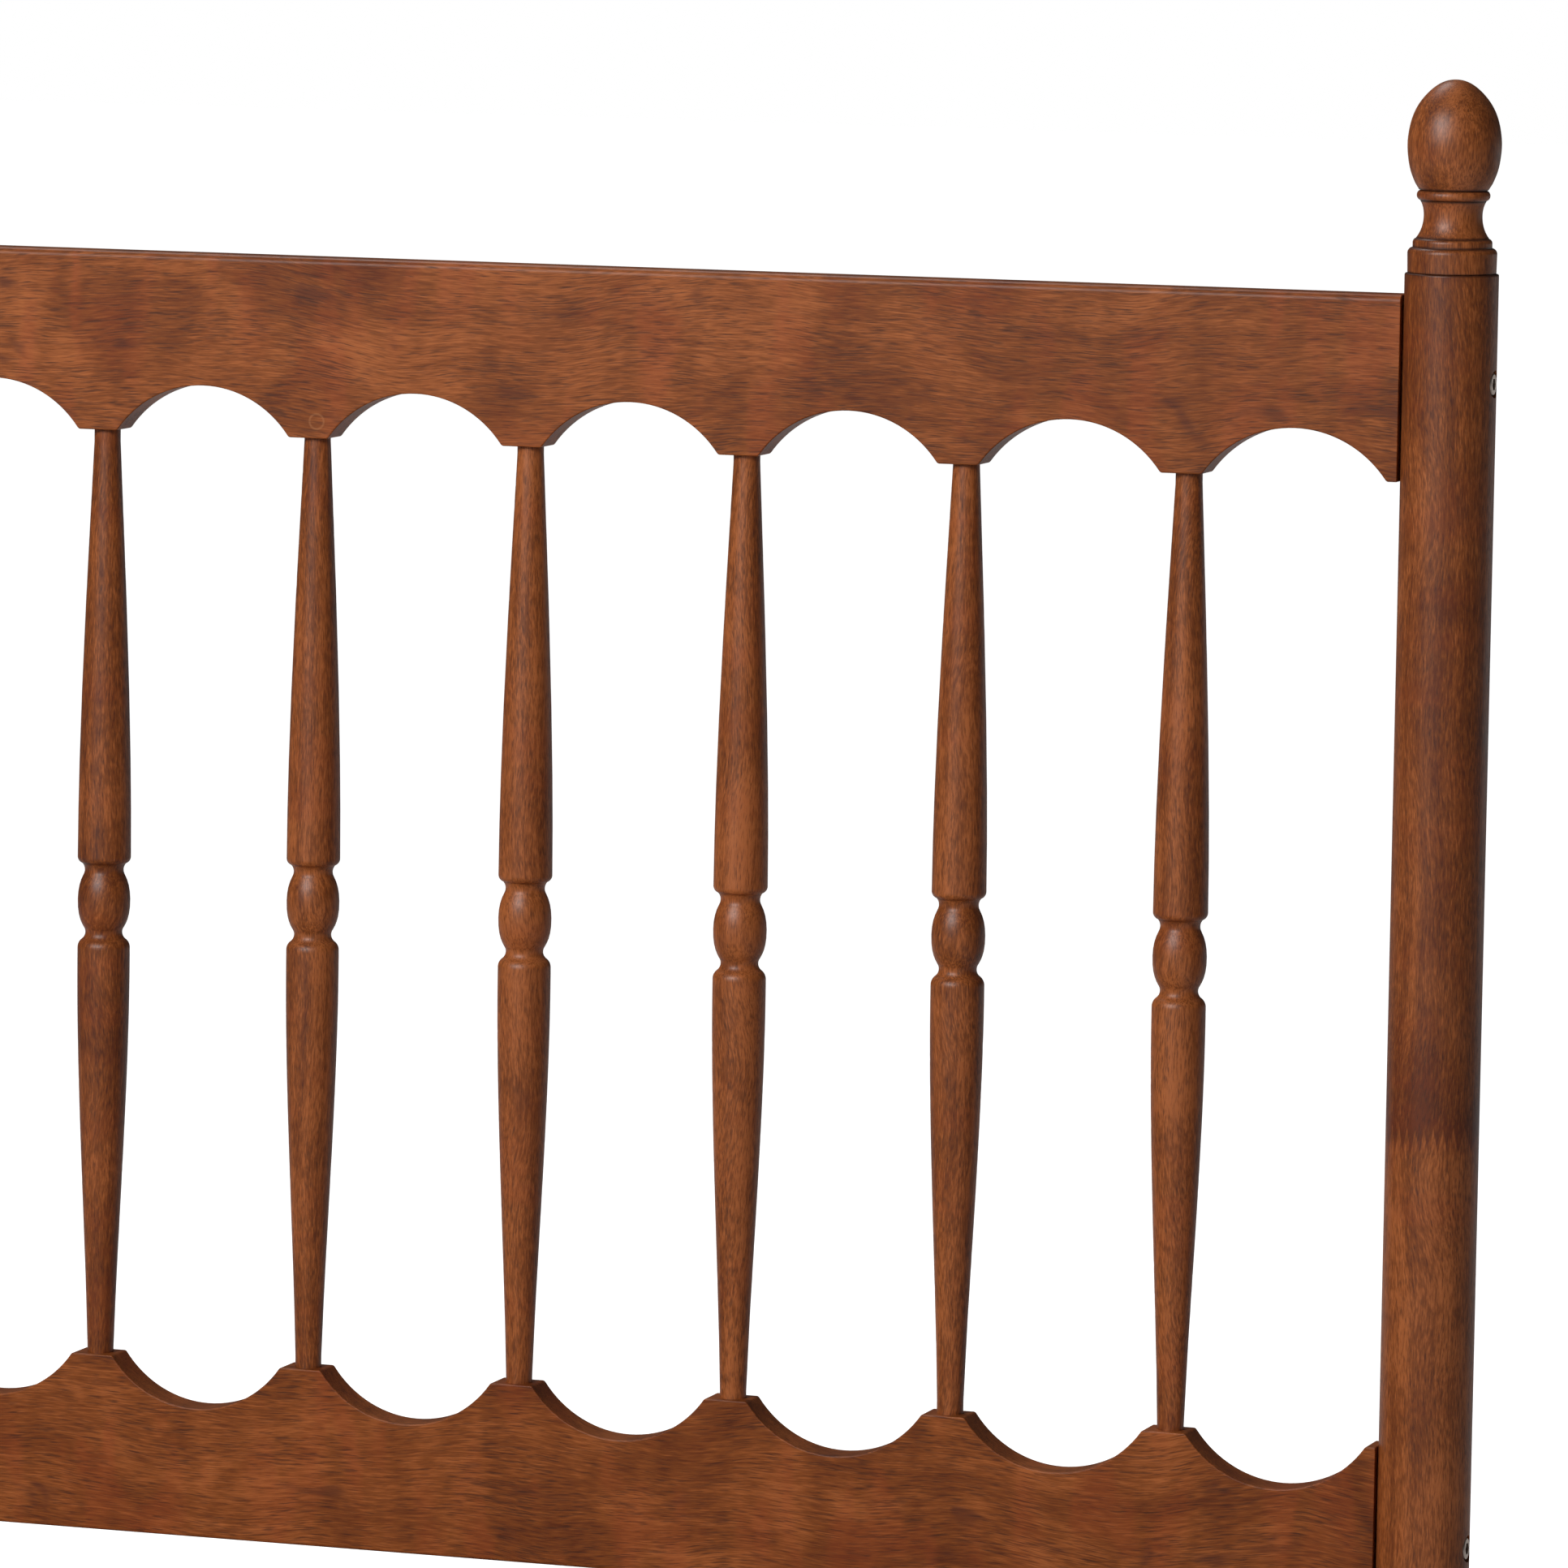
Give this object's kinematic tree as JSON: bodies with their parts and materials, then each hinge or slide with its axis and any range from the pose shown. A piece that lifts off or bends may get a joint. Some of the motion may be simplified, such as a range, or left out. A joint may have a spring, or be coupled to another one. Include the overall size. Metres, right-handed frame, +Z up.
{
  "type": "spindle bed",
  "caption": "Queen-size wooden bed with round posts, egg finials, scalloped rails, turned spindles in the headboard and low footboard, side rails and a slatted deck.",
  "frame": {"origin": "on the floor, under the centre of the bed's footprint", "axes": "+X to the right as seen from the foot, +Y from the foot to the head, +Z up"},
  "size_m": [1.61, 2.1148, 1.3],
  "materials": {
    "stained_wood": "reddish walnut stain under satin lacquer, fine dark pores",
    "bare_wood": "planed, unstained softwood",
    "zinc_steel": "zinc plated",
    "bracket_steel": "black powder coat",
    "glide_plastic": "moulded, brown"
  },
  "bodies": {
    "root": {"barrel_nuts": "zinc_steel", "beam_brackets": "bracket_steel", "bracket_screws": "zinc_steel", "centre_beam": "bare_wood", "centre_leg_1": "stained_wood", "centre_leg_2": "stained_wood", "centre_leg_3": "stained_wood", "cross_bolts": "zinc_steel", "dowels": "bare_wood", "finial_studs": "zinc_steel", "foot_finial_left": "stained_wood", "foot_finial_right": "stained_wood", "foot_lower_rail": "stained_wood", "foot_post_left": "stained_wood", "foot_post_right": "stained_wood", "foot_spindle_01": "stained_wood", "foot_spindle_02": "stained_wood", "foot_spindle_03": "stained_wood", "foot_spindle_04": "stained_wood", "foot_spindle_05": "stained_wood", "foot_spindle_06": "stained_wood", "foot_spindle_07": "stained_wood", "foot_spindle_08": "stained_wood", "foot_spindle_09": "stained_wood", "foot_spindle_10": "stained_wood", "foot_spindle_11": "stained_wood", "foot_top_rail": "stained_wood", "head_bottom_rail": "stained_wood", "head_finial_left": "stained_wood", "head_finial_right": "stained_wood", "head_lower_rail": "stained_wood", "head_post_left": "stained_wood", "head_post_right": "stained_wood", "head_spindle_01": "stained_wood", "head_spindle_02": "stained_wood", "head_spindle_03": "stained_wood", "head_spindle_04": "stained_wood", "head_spindle_05": "stained_wood", "head_spindle_06": "stained_wood", "head_spindle_07": "stained_wood", "head_spindle_08": "stained_wood", "head_spindle_09": "stained_wood", "head_spindle_10": "stained_wood", "head_spindle_11": "stained_wood", "head_top_rail": "stained_wood", "ledger_screws": "zinc_steel", "leg_glides": "glide_plastic", "leg_studs": "zinc_steel", "post_glides": "glide_plastic", "side_rail_bolts": "zinc_steel", "side_rail_left": "stained_wood", "side_rail_right": "stained_wood", "slat_ledger_left": "bare_wood", "slat_ledger_right": "bare_wood", "slat_screws": "zinc_steel", "slats": "bare_wood"}
  },
  "joints": []
}
